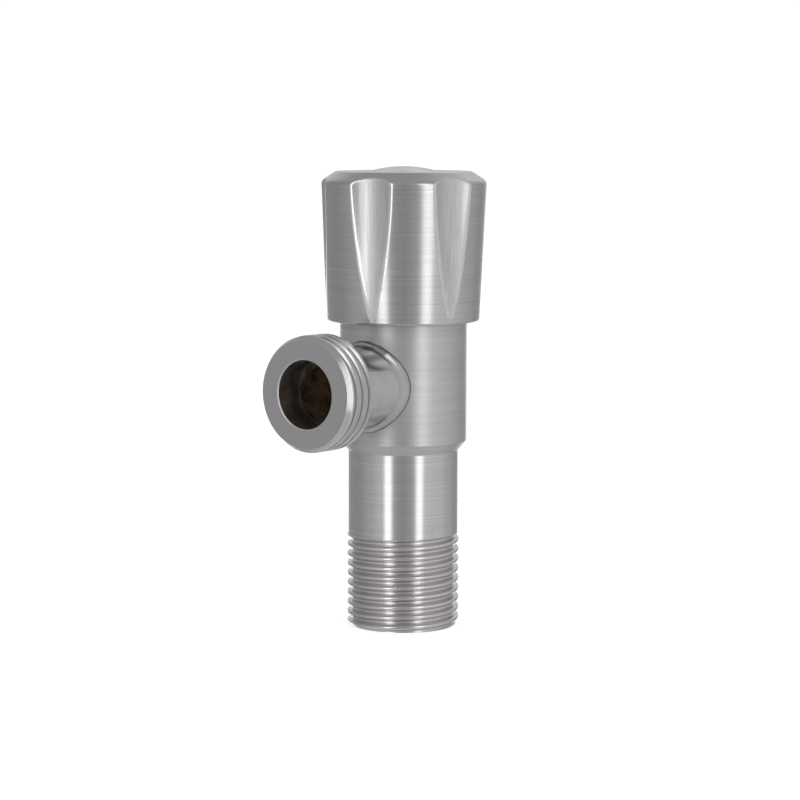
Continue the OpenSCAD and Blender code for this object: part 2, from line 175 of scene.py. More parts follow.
# Camera, from the photograph's perspective. Azimuth 0 looks along +Y, and grows towards +X.
CAMERA_AZIMUTH = radians(38.09)
CAMERA_DISTANCE = 479.4
CAMERA_HEIGHT = 94.9
CAMERA_SIDE = -0.6
CAMERA_PITCH = radians(6.313)
CAMERA_ROLL = radians(0.113)
CAMERA_LENS = 117.36

# Studio. Shade of the walls by azimuth in degrees to the right of the camera.
WALLS = [
    (-180, 0.38),
    (-105, 0.36),
    (-72, 0.50),
    (-50, 0.66),
    (-15, 0.40),
    (0, 0.35),
    (14, 0.42),
    (50, 0.74),
    (82, 0.67),
    (110, 0.52),
    (136, 0.38),
    (180, 0.38),
]
# Wide glows: azimuth and elevation, cosine of the angle at which it ends, and the strength in its middle
GLOWS = [
    ((180, 12), 0.75, 0.28),
    ((148, 40), 0.88, 0.25),
]
# Shade straight above and straight below, and the heights on the unit sphere between which it takes over
CEILING_SHADE = 0.42
GROUND_SHADE = 0.62
WALL_TOP = 0.55
CEILING_START = 0.92


# ---- Shapes ----


def clamp(value, low, high):
    return max(low, min(high, value))


def smooth_step(value):
    t = clamp(value, 0, 1)
    return t * t * (3 - 2 * t)


def soft_min(a, b, softness):
    """The smaller of two numbers, with the change from one to the other rounded over softness."""
    blend = max(softness - abs(a - b), 0) / softness
    return min(a, b) - blend * blend * softness / 4


def rounded(corners, steps=6, support=0.04):
    """Outline of (radius, height) points from corners of (radius, height) or (radius, height, rounding).

    A rounded corner becomes an arc with one more point just before and after it, which keeps the flat stretch
    beside it flat when it is shaded smooth. The outline counts as closed, so the first and last corners of an
    open one have no rounding."""
    outline = []
    for i, corner in enumerate(corners):
        here = Vector(corner[:2])
        rounding = corner[2] if len(corner) > 2 else 0
        if rounding == 0:
            outline.append(tuple(here))
            continue
        back = (Vector(corners[i - 1][:2]) - here).normalized()
        ahead = (Vector(corners[(i + 1) % len(corners)][:2]) - here).normalized()
        half = acos(clamp(back.dot(ahead), -1, 1)) / 2
        centre = here + (back + ahead).normalized() * rounding / sin(half)
        start = here + back * rounding / tan(half)
        end = here + ahead * rounding / tan(half)
        first = atan2(start.y - centre.y, start.x - centre.x)
        turn = atan2(end.y - centre.y, end.x - centre.x) - first
        turn = (turn + pi) % (2 * pi) - pi
        outline.append(tuple(start + back * support))
        for k in range(steps + 1):
            angle = first + turn * k / steps
            outline.append((centre.x + rounding * cos(angle), centre.y + rounding * sin(angle)))
        outline.append(tuple(end + ahead * support))
    return outline


def ridges(crest_r, depth, pitch, turns, start):
    """Outline of ring-shaped thread ridges, each a crest, a flank, a root and a flank."""
    flank = depth * tan(FLANK)
    flat = pitch / 2 - flank
    outline = []
    for i in range(turns):
        z = start + i * pitch
        outline += [
            (crest_r, z),
            (crest_r, z + flat),
            (crest_r - depth, z + flat + flank),
            (crest_r - depth, z + 2 * flat + flank),
        ]
    return outline


class Helix:
    """A right-handed outside thread from low to high, for an outline that is being turned.

    groove is the height of one groove's centre where the angle is 0. crest(height) is the radius without the
    thread. strength(height) is 1 where the groove whose centre is at that height is full, and 0 where it is
    gone. truncated is how much of the full crest is turned away, which leaves it flat. offsets are the
    heights of the outline's points over one turn, measured from a groove's centre."""

    ARC_STEPS = 4
    FLANK_STEPS = 3

    def __init__(self, low, high, groove, crest, strength, truncated=0):
        self.low = low
        self.high = high
        self.groove = groove
        self.crest = crest
        self.strength = strength
        self.truncated = truncated
        reach = THREAD_ROUND * sin(pi / 2 - FLANK)
        flank = PITCH / 2 - 2 * reach
        half = [reach * k / self.ARC_STEPS for k in range(self.ARC_STEPS + 1)]
        half += [reach + flank * k / self.FLANK_STEPS for k in range(1, self.FLANK_STEPS + 1)]
        half += [PITCH / 2 - reach + reach * k / self.ARC_STEPS for k in range(1, self.ARC_STEPS + 1)]
        self.reach = reach
        self.offsets = half + [PITCH - offset for offset in reversed(half[1:-1])]
        first_turn = floor((low - groove) / PITCH) - 2
        last_turn = ceil((high - groove) / PITCH) + 1
        turns = range(first_turn, last_turn)
        self.heights = [groove + turn * PITCH + offset for turn in turns for offset in self.offsets]

    def depth(self, offset):
        """Depth below the crest at a distance from the middle of the nearest groove."""
        if offset < self.reach:
            return THREAD_DEPTH - THREAD_ROUND + sqrt(THREAD_ROUND**2 - offset**2)
        from_crest = PITCH / 2 - offset
        if from_crest < self.reach:
            return THREAD_ROUND - sqrt(THREAD_ROUND**2 - from_crest**2)
        at_arc = THREAD_ROUND * (1 - sin(FLANK))
        return at_arc + (from_crest - self.reach) / tan(FLANK)

    def radius(self, angle, height):
        rise = PITCH * angle / (2 * pi)
        turn = floor((height - self.groove - rise) / PITCH + 0.5)
        centre = self.groove + rise + turn * PITCH
        groove_r = THREAD_R + self.truncated - self.depth(abs(height - centre))
        crest_r = self.crest(height)
        cut_r = soft_min(groove_r, crest_r, CREST_SOFTNESS)
        return crest_r + (cut_r - crest_r) * self.strength(centre)

    def points(self, angle):
        rise = PITCH * angle / (2 * pi)
        heights = [clamp(height + rise, self.low, self.high) for height in self.heights]
        return [(self.radius(angle, height), height) for height in heights]

    def next_turn(self, row):
        """Where a row of the last column goes on in the first column, one turn of the helix higher."""
        return min(row + len(self.offsets), len(self.heights) - 1)


def mesh_object(name, points, faces):
    """Mesh from points in millimetres, with doubled points joined and its faces turned outwards."""
    mesh = bpy.data.meshes.new(name)
    mesh.from_pydata([Vector(point) * MM for point in points], [], faces)
    shape = bmesh.new()
    shape.from_mesh(mesh)
    bmesh.ops.remove_doubles(shape, verts=shape.verts, dist=1e-7)
    bmesh.ops.recalc_face_normals(shape, faces=shape.faces)
    shape.to_mesh(mesh)
    shape.free()
    obj = bpy.data.objects.new(name, mesh)
    bpy.context.scene.collection.objects.link(obj)
    return obj


def shade(obj, sharp=40):
    """Smooth shading that keeps edges sharper than an angle in degrees."""
    obj.data.shade_smooth()
    obj.data.set_sharp_from_angle(angle=radians(sharp))


def turned_solid(name, before, after, place, helix=None):
    """Closed solid turned from an outline: the points before the helix, the helix and the points after it.

    place(radius, angle, height) gives a point in space."""
    outlines = []
    for column in range(COLUMNS):
        angle = 2 * pi * column / COLUMNS
        thread = helix.points(angle) if helix else []
        outlines.append(before + thread + after)
    rows = len(outlines[0])
    first_thread = len(before)
    last_thread = rows - len(after) - 1

    def index(column, row):
        row %= rows
        if column == COLUMNS:
            column = 0
            if helix and first_thread <= row <= last_thread:
                row = first_thread + helix.next_turn(row - first_thread)
        return column * rows + row

    points = []
    for column, outline in enumerate(outlines):
        angle = 2 * pi * column / COLUMNS
        points += [place(radius, angle, height) for radius, height in outline]
    faces = []
    for column in range(COLUMNS):
        for row in range(rows):
            faces.append((
                index(column, row),
                index(column + 1, row),
                index(column + 1, row + 1),
                index(column, row + 1),
            ))
    return mesh_object(name, points, faces)


def around_valve(radius, angle, height):
    """Point on a circle around the valve's axis."""
    return (radius * cos(angle), radius * sin(angle), height)


def around_outlet(radius, angle, distance):
    """Point on a circle around the outlet's axis, at a distance from the valve's axis."""
    return (radius * cos(angle), -distance, OUTLET_Z + radius * sin(angle))


def saddle(radius, angle, body_r=BODY_R):
    """Distance from the valve's axis at which a line along the outlet meets the body."""
    return sqrt(body_r**2 - (radius * cos(angle)) ** 2)


def combine(obj, tool, operation):
    """Cuts the tool out of an object or adds it, and removes the tool."""
    modifier = obj.modifiers.new("combine", "BOOLEAN")
    modifier.operation = operation
    modifier.solver = "MANIFOLD"
    modifier.object = tool
    bpy.context.view_layer.update()
    result = bpy.data.meshes.new_from_object(obj.evaluated_get(bpy.context.evaluated_depsgraph_get()))
    obj.modifiers.clear()
    obj.data = result
    bpy.data.objects.remove(tool)


def paint(obj, materials, choose):
    """Gives an object its materials; choose(face) picks one of them for each face."""
    slots = {material.name: slot for slot, material in enumerate(materials)}
    obj.data.materials.clear()
    for material in materials:
        obj.data.materials.append(material)
    for face in obj.data.polygons:
        face.material_index = slots[choose(face).name]


def install(obj, node, body):
    """Puts a piece in the place of a CAD node: hides the node, and hangs the piece under the body's empty."""
    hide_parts(node)
    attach(obj, body)


# ---- Pieces ----


def make_body():
    """Inlet thread, neck, shoulder and barrel, with the seat and the cartridge's chamber inside."""

    def crest(z):
        chamfer_r = INLET_FACE_R + (THREAD_R - INLET_FACE_R) * z / INLET_CHAMFER_L
        past_thread = smooth_step((z - INLET_THREAD_END + CREST_END_L) / CREST_END_L)
        plain_r = THREAD_R + (NECK_R - THREAD_R) * past_thread
        return soft_min(chamfer_r, plain_r, CHAMFER_SOFTNESS)

    def strength(groove_z):
        return 1 - smooth_step((groove_z - GROOVE_FADE_Z) / GROOVE_FADE_L)

    helix = Helix(0, INLET_THREAD_END, INLET_GROOVE_Z, crest, strength)
    before = rounded([(INLET_BORE_R, INLET_MOUTH), (INLET_BORE_R + INLET_MOUTH, 0)])
    after = rounded([
        (NECK_R, INLET_THREAD_END + 0.1),
        (NECK_R, SHOULDER_Z, NECK_ROUND),
        (BODY_R, SHOULDER_Z + SHOULDER_L, SHOULDER_ROUND),
        (BODY_R, BODY_TOP, BODY_TOP_ROUND),
        (TAPPED_R, BODY_TOP),
        (TAPPED_R, TAPPED_Z + TAPPED_TURNS * TAPPED_PITCH),
    ])
    after += reversed(ridges(TAPPED_R, TAPPED_DEPTH, TAPPED_PITCH, TAPPED_TURNS, TAPPED_Z))
    after += [
        (CHAMBER_R, TAPPED_Z),
        (CHAMBER_R, SEAT_Z),
        (THROAT_R, SEAT_Z),
        (THROAT_R, THROAT_Z),
        (INLET_BORE_R, THROAT_Z),
    ]
    body = turned_solid("body_turned", before, after, around_valve, helix)
    hole_start = 3
    hole_end = 14
    hole_outline = [
        (0, hole_start),
        (SPIGOT_R, hole_start),
        (SPIGOT_R, hole_end),
        (0, hole_end),
    ]
    hole = turned_solid("side_hole", hole_outline, [], around_outlet)
    combine(body, hole, "DIFFERENCE")
    shade(body)
    return body


def make_outlet():
    """Threaded head, plain barrel coped to the body, and the spigot in the body's side hole."""

    def crest(s):
        bevel_r = OUTLET_FACE_R + (THREAD_R - OUTLET_FACE_R) * (OUTLET_REACH - s) / OUTLET_BEVEL_L
        return soft_min(bevel_r, THREAD_R, CHAMFER_SOFTNESS)

    thread_start = OUTLET_HEAD_S + 0.12
    helix = Helix(thread_start, OUTLET_REACH, OUTLET_GROOVE_S, crest, lambda s: 1, OUTLET_TRUNCATION)
    # A point with no distance lies on the body's surface
    cope_steps = 3
    cope = [(BARREL_R - (BARREL_R - SPIGOT_R) * k / cope_steps, None) for k in range(cope_steps + 1)]
    before = [(SPIGOT_R, SPIGOT_S)] + cope[::-1]
    past_the_weld = (BARREL_R, 13.5)
    # Only gives the corner after it a direction, and is left out of the outline
    along_barrel = (BARREL_R, 15)
    before += [past_the_weld] + rounded([
        along_barrel,
        (BARREL_R, OUTLET_HEAD_S, HEAD_CORNER_ROUND),
        (THREAD_R - 0.25, OUTLET_HEAD_S),
        (THREAD_R - 0.02, OUTLET_HEAD_S + 0.1),
    ])[1:]
    after = rounded([
        (OUTLET_BORE_R + 1, OUTLET_REACH),
        (OUTLET_BORE_R, OUTLET_REACH, OUTLET_LIP_ROUND),
        (OUTLET_BORE_R, OUTLET_REACH - OUTLET_BORE_L),
        (OUTLET_WAY_R, OUTLET_REACH - OUTLET_BORE_L),
        (OUTLET_WAY_R, SPIGOT_S),
    ])

    def coped(radius, angle, distance):
        return around_outlet(radius, angle, saddle(radius, angle) if distance is None else distance)

    outlet = turned_solid("outlet_turned", before, after, coped, helix)
    shade(outlet)
    return outlet


def weld_ripple(angle):
    """How far the weld's edge strays from a smooth curve, the sum of three waves around the barrel."""
    return 0.03 * sin(23 * angle) + 0.04 * sin(5 * angle + 1) + 0.02 * sin(41 * angle + 2)


def make_weld():
    """Polished bead on the saddle between the barrel and the body, a little uneven along its length.

    It stands steeply off the body, and runs out along the barrel."""
    columns = 160
    crowding = 1.4
    inner_r = BARREL_R - 0.02
    sunk_r = BODY_R - WELD_SINK
    points = []
    for column in range(columns):
        angle = 2 * pi * column / columns
        ripple = weld_ripple(angle)
        outer_r = WELD_R - WELD_SIDE_SLIMMING * abs(cos(angle)) + 0.5 * ripple
        foot = Vector((outer_r, saddle(outer_r, angle, sunk_r)))
        toe_s = saddle(BARREL_R, angle) + WELD_TOE_L + WELD_SIDE_TOE_L * abs(cos(angle)) + ripple
        toe = Vector((inner_r, toe_s))
        chord = toe - foot
        outward = Vector((chord.y, -chord.x)).normalized()
        bulge = WELD_BULGE * chord.length * asin((outer_r - inner_r) / chord.length) / (2 * pi)
        for row in range(WELD_ROWS):
            t = (row / (WELD_ROWS - 1)) ** crowding
            here = foot + chord * t + outward * bulge * sin(2 * pi * t)
            points.append(around_outlet(max(here.x, inner_r), angle, here.y))
        points.append(around_outlet(inner_r, angle, saddle(inner_r, angle, sunk_r)))
    ring = WELD_ROWS + 1
    faces = []
    for column in range(columns):
        following = (column + 1) % columns
        for row in range(ring):
            step = (row + 1) % ring
            faces.append((
                column * ring + row,
                following * ring + row,
                following * ring + step,
                column * ring + step,
            ))
    weld = mesh_object("weld_bead", points, faces)
    shade(weld, 50)
    return weld


def land_radius(z):
    """Radius of the shell's skirt and brow without flutes, from its straight stretches."""
    if z <= RIM_Z:
        return FOOT_R + (RIM_R - FOOT_R) * (z - FOOT_Z) / (RIM_Z - FOOT_Z)
    return RIM_R + (TOP_R - RIM_R) * (z - RIM_Z) / (TOP_Z - RIM_Z)


def flute_centre(z):
    """Distance from the axis of the centre of the circle that cuts a flute at a height."""
    climb = clamp((z - FOOT_Z) / (RIM_Z - FOOT_Z), 0, 1)
    depth = FLUTE_DEPTH * (0.3 * climb + 0.7 * smooth_step(climb))
    return land_radius(min(z, RIM_Z)) - depth + FLUTE_CUTTER_R


def flute_radius(offset, z):
    """Distance of a flute's surface from the axis, at an angle from the flute's middle."""
    centre_r = flute_centre(z)
    across = centre_r * sin(offset)
    if abs(across) >= FLUTE_CUTTER_R or cos(offset) < 0:
        return 2 * RIM_R
    return centre_r * cos(offset) - sqrt(FLUTE_CUTTER_R**2 - across**2)


def flute_edge(z):
    """Angle from a flute's middle to its edge, where it meets the land beside it."""
    land_r = land_radius(min(z, RIM_Z))
    centre_r = flute_centre(z)
    cosine = (centre_r**2 + land_r**2 - FLUTE_CUTTER_R**2) / (2 * centre_r * land_r)
    return acos(clamp(cosine, -1, 1))


def flute_softness(z):
    """Softness that rounds a flute's edge over the same width at each height."""
    land_r = land_radius(min(z, RIM_Z))
    steepness = land_r * sin(flute_edge(z)) * (1 / FLUTE_CUTTER_R + 1 / land_r)
    return max(FLUTE_EDGE_W / 2 * steepness, 0.02)


def stretch(start, end, from_start, from_end, count):
    """Evenly spaced points on a straight line, beginning and ending at distances from its two ends."""
    along = (end - start).normalized()
    first = start + along * from_start
    last = end - along * from_end
    return [tuple(first.lerp(last, k / (count - 1))) for k in range(count)]


def shell_outline():
    """Outline of the handle's shell, from its foot up the outside, over the top and down the inside."""
    foot = Vector((FOOT_R, FOOT_Z))
    rim = Vector((RIM_R, RIM_Z))
    brow = Vector((TOP_R, TOP_Z))
    skirt_rows = 64
    brow_rows = 44
    margin = 0.8
    skirt = stretch(foot, rim, margin, margin, skirt_rows)
    slope = stretch(rim, brow, margin, 0.3, brow_rows)
    return rounded([
        (CAVITY_R, FOOT_Z, 0.15),
        (FOOT_R, FOOT_Z, FOOT_ROUND),
        *skirt,
        (RIM_R, RIM_Z, RIM_ROUND),
        *slope,
        (TOP_R, TOP_Z, TOP_ROUND),
        (TOP_R - 2, TOP_Z),
        (CAP_R + CAP_GAP, TOP_Z, CAP_EDGE_ROUND),
        (CAP_R + CAP_GAP, CAVITY_TOP),
        (CAVITY_R, CAVITY_TOP),
    ], steps=10)


def shell_columns(edge):
    """Angles over one flute and the land beside it, from the flute's middle, crowded at its edge."""
    in_flute = [0, 0.13, 0.26, 0.39, 0.52, 0.64, 0.75, 0.84, 0.91, 0.955, 0.985, 1]
    on_land = [1.015, 1.045, 1.09, 1.16, 1.27]
    half = [edge * share for share in in_flute + on_land]
    sector = pi / FLUTES
    rest = sector - half[-1]
    land_columns = 7
    half += [half[-1] + rest * k / land_columns for k in range(1, land_columns + 1)]
    return [-angle for angle in reversed(half[1:-1])] + half


def make_shell():
    """Flared knob with six flutes, a rounded rim, a sloped brow and a flat top."""
    outline = shell_outline()
    least_edge = radians(1.4)
    grid = []
    for radius, z in outline:
        angles = shell_columns(max(flute_edge(z), least_edge))
        softness = flute_softness(z)
        # The flutes are cut into the outside only, and not into the flat underside of the foot
        outside = radius > CAVITY_R + 0.2 and z > FOOT_Z + 0.01
        row = []
        for flute in range(FLUTES):
            middle = FLUTE_TURN + 2 * pi * flute / FLUTES
            for offset in angles:
                here = soft_min(radius, flute_radius(offset, z), softness) if outside else radius
                row.append(around_valve(here, middle + offset, z))
        grid.append(row)
    rows = len(grid)
    columns = len(grid[0])
    points = [point for row in grid for point in row]
    faces = []
    for row in range(rows):
        following = (row + 1) % rows
        for column in range(columns):
            step = (column + 1) % columns
            faces.append((
                row * columns + column,
                row * columns + step,
                following * columns + step,
                following * columns + column,
            ))
    shell = mesh_object("handle_skirt", points, faces)
    for key in range(SHELL_KEYS):
        combine(shell, make_shell_key(2 * pi * key / SHELL_KEYS), "UNION")
    shade(shell)
    return shell


def make_shell_key(turn):
    """Small key on the inside of the shell, which turns the handle's core."""
    inner_r = CAVITY_R - 0.8
    outer_r = CAVITY_R + 0.3
    half_w = 0.8
    low_z = 72
    high_z = CAVITY_TOP + 0.2
    points = []
    for z in (low_z, high_z):
        for along, across in ((inner_r, -half_w), (outer_r, -half_w), (outer_r, half_w), (inner_r, half_w)):
            points.append((
                along * cos(turn) - across * sin(turn),
                along * sin(turn) + across * cos(turn),
                z,
            ))
    sides = [(k, (k + 1) % 4, (k + 1) % 4 + 4, k + 4) for k in range(4)]
    return mesh_object("shell_key", points, [(3, 2, 1, 0), (4, 5, 6, 7)] + sides)


def make_cap():
    """Domed cap in the middle of the knob."""
    rise = CAP_TOP - TOP_Z
    dome_r = (CAP_R**2 + rise**2) / (2 * rise)
    spread = asin(CAP_R / dome_r)
    dome_steps = 20
    dome = []
    for k in range(dome_steps):
        angle = spread * k / dome_steps
        dome.append((dome_r * sin(angle), CAP_TOP - dome_r * (1 - cos(angle))))
    rim = rounded([dome[-1], (CAP_R, TOP_Z, CAP_EDGE_ROUND), (CAP_R, CAVITY_TOP)])
    inner_r = CAP_R - CAP_WALL
    ceiling = TOP_Z - CAP_PLATE_T
    inside = [(inner_r, CAVITY_TOP), (inner_r, ceiling), (0, ceiling)]
    cap = turned_solid("handle_dome", dome + rim[1:] + inside, [], around_valve)
    shade(cap)
    return cap


# ---- Finishes ----


class Finish:
    """A material's nodes around one Principled shader, with one call for each node."""

    def __init__(self, name, **sockets):
        self.material = bpy.data.materials.new(name)
        self.material.use_nodes = True
        self.nodes = self.material.node_tree.nodes
        self.links = self.material.node_tree.links
        self.shader = self.nodes["Principled BSDF"]
        self.set(self.shader, **sockets)

    def set(self, node, **sockets):
        """Sets a node's inputs; a socket's name is written with underscores for spaces."""
        for name, value in sockets.items():
            socket = node.inputs[name.replace("_", " ")]
            if isinstance(value, bpy.types.NodeSocket):
                self.links.new(value, socket)
            else:
                socket.default_value = value

    def add(self, kind, output=0, settings=None, **sockets):
        node = self.nodes.new("ShaderNode" + kind)
        for name, value in (settings or {}).items():
            setattr(node, name, value)
        self.set(node, **sockets)
        return node.outputs[output]

    def vector_math(self, operation, first, second=None, output=0):
        node = self.nodes.new("ShaderNodeVectorMath")
        node.operation = operation
        self.links.new(first, node.inputs[0])
        if isinstance(second, bpy.types.NodeSocket):
            self.links.new(second, node.inputs[1])
        elif second is not None:
            node.inputs[1].default_value = second
        return node.outputs[output]

    def scale(self, vector, factor):
        return self.vector_math("MULTIPLY", vector, (factor, factor, factor))

    def spread(self, value, low, high):
        """Maps a noise of 0 to 1 onto the range from low to high."""
        return self.add("MapRange", Value=value, From_Min=0.3, From_Max=0.7, To_Min=low, To_Max=high)

    def shades(self, value, dark, light):
        """Mixes two colours by a noise of 0 to 1."""
        ramp = self.nodes.new("ShaderNodeValToRGB")
        ramp.color_ramp.elements[0].position = 0.3
        ramp.color_ramp.elements[0].color = (*dark, 1)
        ramp.color_ramp.elements[1].position = 0.7
        ramp.color_ramp.elements[1].color = (*light, 1)
        self.links.new(value, ramp.inputs["Fac"])
        return ramp.outputs["Color"]

    def bump(self, height, distance, under=None):
        """Bump of a noise whose full height is a distance in metres, on top of another bump."""
        normal = self.add("Bump", Height=height, Distance=distance, Strength=1.0)
        if under is not None:
            self.links.new(under, normal.node.inputs["Normal"])
        return normal


def tint(colour, factor):
    return tuple(channel * factor for channel in colour)


def circle_lines(finish, axis, centre, length, spacing):
    """Noise drawn out along circles around an axis: lines of a length in radians and a spacing in metres."""
    place = finish.add("TexCoord", output=3)
    from_axis = finish.vector_math("SUBTRACT", place, centre)
    across = finish.vector_math("MULTIPLY", from_axis, tuple(1 - component for component in axis))
    along = finish.vector_math("DOT_PRODUCT", from_axis, axis, output=1)
    radius = finish.vector_math("LENGTH", across, output=1)
    outwards = finish.scale(finish.vector_math("NORMALIZE", across), 1 / length)
    rings = finish.add("CombineXYZ", X=radius, Y=radius, Z=radius)
    rings = finish.vector_math("MULTIPLY", rings, tint(axis, 1 / spacing))
    sample = finish.vector_math("ADD", outwards, rings)
    level = finish.add("Math", settings={"operation": "MULTIPLY"})
    finish.links.new(along, level.node.inputs[0])
    level.node.inputs[1].default_value = 1 / spacing
    return finish.add(
        "TexNoise",
        settings={"noise_dimensions": "4D"},
        Vector=sample,
        W=level,
        Scale=1.0,
        Detail=3.0,
        Roughness=0.6,
    )


def cloud(finish, size, detail=3.0):
    """Plain noise with blotches of a size in metres."""
    place = finish.add("TexCoord", output=3)
    return finish.add("TexNoise", Vector=place, Scale=1 / size, Detail=detail, Roughness=0.55)


def straight_lines(finish, spacing, length):
    """Noise drawn out along the valve's axis."""
    place = finish.add("TexCoord", output=3)
    sample = finish.vector_math("MULTIPLY", place, (1 / spacing, 1 / spacing, 1 / length))
    return finish.add("TexNoise", Vector=sample, Scale=1.0, Detail=3.0, Roughness=0.6)


VALVE_AXIS = ((0, 0, 1), (0, 0, 0))
OUTLET_AXIS = ((0, 1, 0), (0, 0, OUTLET_Z * MM))


def turned_metal(
    name, colour, roughness, axis, anisotropy=0.0, groove=3.5e-6, spacing=0.00025, contrast=0.08, chatter=0.0
):
    """Metal with fine lines around an axis: bump, and small changes of shade and gloss along the lines.

    chatter is the depth of the small torn marks that a threading tool leaves."""
    finish = Finish(name, Metallic=1.0, Anisotropic=anisotropy)
    fine = circle_lines(finish, *axis, length=2.5, spacing=spacing)
    broad = circle_lines(finish, *axis, length=2.5, spacing=2.5 * spacing)
    blotches = cloud(finish, 0.006)
    relief = finish.bump(fine, groove)
    relief = finish.bump(broad, 0.8 * groove, relief)
    if chatter:
        relief = finish.bump(cloud(finish, 0.0004), chatter, relief)
    finish.set(
        finish.shader,
        Base_Color=finish.shades(fine, tint(colour, 1 - contrast), tint(colour, 1 + contrast)),
        Roughness=finish.spread(blotches, 0.95 * roughness, 1.05 * roughness),
        Normal=relief,
    )
    if anisotropy:
        tangent = finish.add("Tangent", settings={"direction_type": "RADIAL", "axis": "Z"})
        finish.set(finish.shader, Tangent=tangent, Anisotropic_Rotation=0.25)
    return finish.material


def fluted_metal(name, colour, roughness, anisotropy):
    """Metal with fine lines along the valve's axis."""
    finish = Finish(name, Metallic=1.0, Anisotropic=anisotropy)
    fine = straight_lines(finish, 0.00025, 0.008)
    broad = straight_lines(finish, 0.0007, 0.02)
    relief = finish.bump(broad, 8e-6, finish.bump(fine, 6e-6))
    tangent = finish.add("Tangent", settings={"direction_type": "RADIAL", "axis": "Z"})
    finish.set(
        finish.shader,
        Base_Color=finish.shades(fine, tint(colour, 0.88), tint(colour, 1.12)),
        Roughness=finish.spread(broad, 0.9 * roughness, 1.1 * roughness),
        Normal=relief,
        Tangent=tangent,
    )
    return finish.material


def polished_metal(name, colour, roughness, wave=1.2e-5):
    """Buffed metal: a faint waviness, buffing haze and hairline scratches."""
    finish = Finish(name, Metallic=1.0)
    waves = cloud(finish, 0.0022, detail=2.0)
    haze = cloud(finish, 0.004)
    scratches = cloud(finish, 0.00012)
    finish.set(
        finish.shader,
        Base_Color=finish.shades(haze, tint(colour, 0.94), tint(colour, 1.04)),
        Roughness=finish.spread(haze, 0.8 * roughness, 1.25 * roughness),
        Normal=finish.bump(scratches, 1.2e-6, finish.bump(waves, wave)),
    )
    return finish.material


def dark_bore(name, dark, light):
    """Inside of the water way: dull metal with stains, browned by the heat of the weld, and painted very dark
    as painted shade deep inside.
    """
    finish = Finish(name, Metallic=0.7)
    stains = cloud(finish, 0.003)
    pits = cloud(finish, 0.0004)
    finish.set(
        finish.shader,
        Base_Color=finish.shades(stains, dark, light),
        Roughness=finish.spread(pits, 0.35, 0.55),
        Normal=finish.bump(pits, 1.5e-5),
    )
    return finish.material


def moulded(name, colour, roughness, grain, size):
    """Plastic, rubber or ceramic: a fine grain with faint blotches."""
    finish = Finish(name)
    blotches = cloud(finish, 0.003)
    finish.set(
        finish.shader,
        Base_Color=finish.shades(blotches, tint(colour, 0.9), tint(colour, 1.04)),
        Roughness=finish.spread(blotches, 0.85 * roughness, 1.15 * roughness),
        Normal=finish.bump(cloud(finish, size), grain),
    )
    return finish.material


# ---- Studio ----


def studio_direction(azimuth, elevation):
    """Unit vector towards a place in the studio, at an azimuth in degrees to the right of the camera."""
    turn = CAMERA_AZIMUTH + radians(azimuth)
    rise = radians(elevation)
    return Vector((sin(turn) * cos(rise), -cos(turn) * cos(rise), sin(rise)))


def make_camera():
    data = bpy.data.cameras.new("camera")
    data.lens = CAMERA_LENS
    data.sensor_width = 36
    data.clip_start = 0.01
    camera = bpy.data.objects.new("camera", data)
    bpy.context.scene.collection.objects.link(camera)
    towards = studio_direction(0, 0)
    right = Vector((cos(CAMERA_AZIMUTH), sin(CAMERA_AZIMUTH), 0))
    up = Vector((0, 0, 1))
    forward = -towards * cos(CAMERA_PITCH) - up * sin(CAMERA_PITCH)
    above = right.cross(forward)
    side = right * cos(CAMERA_ROLL) + above * sin(CAMERA_ROLL)
    top = above * cos(CAMERA_ROLL) - right * sin(CAMERA_ROLL)
    place = towards * CAMERA_DISTANCE + right * CAMERA_SIDE + up * CAMERA_HEIGHT
    turned = Matrix((side, top, -forward)).transposed().to_4x4()
    camera.matrix_world = Matrix.Translation(place * MM) @ turned
    bpy.context.scene.camera = camera


def softbox(name, azimuth, elevation, distance, width, height, power):
    """Soft rectangular light that faces the middle of the valve. Sizes are in metres."""
    data = bpy.data.lights.new(name, "AREA")
    data.shape = "RECTANGLE"
    data.size = width
    data.size_y = height
    data.energy = power
    light = bpy.data.objects.new(name, data)
    bpy.context.scene.collection.objects.link(light)
    towards = studio_direction(azimuth, elevation)
    middle = Vector((0, 0, 0.045))
    light.location = middle + towards * distance
    light.rotation_euler = towards.to_track_quat("Z", "Y").to_euler()
    light.visible_camera = False


def make_floor():
    """Round sheet of pale paper. It glows a little, and is left out of reflections and shadows."""
    floor_mesh = bpy.data.meshes.new("floor")
    shape = bmesh.new()
    bmesh.ops.create_circle(shape, cap_ends=True, radius=0.6, segments=96)
    shape.to_mesh(floor_mesh)
    shape.free()
    floor = bpy.data.objects.new("floor", floor_mesh)
    bpy.context.scene.collection.objects.link(floor)
    paper = moulded("floor_paper", (0.9, 0.9, 0.9), 0.8, 2e-5, 0.002)
    paper_shader = paper.node_tree.nodes["Principled BSDF"]
    paper_shader.inputs["Emission Color"].default_value = (1, 1, 1, 1)
    paper_shader.inputs["Emission Strength"].default_value = 0.6
    floor.data.materials.append(paper)
    floor.visible_glossy = False
    floor.visible_shadow = False


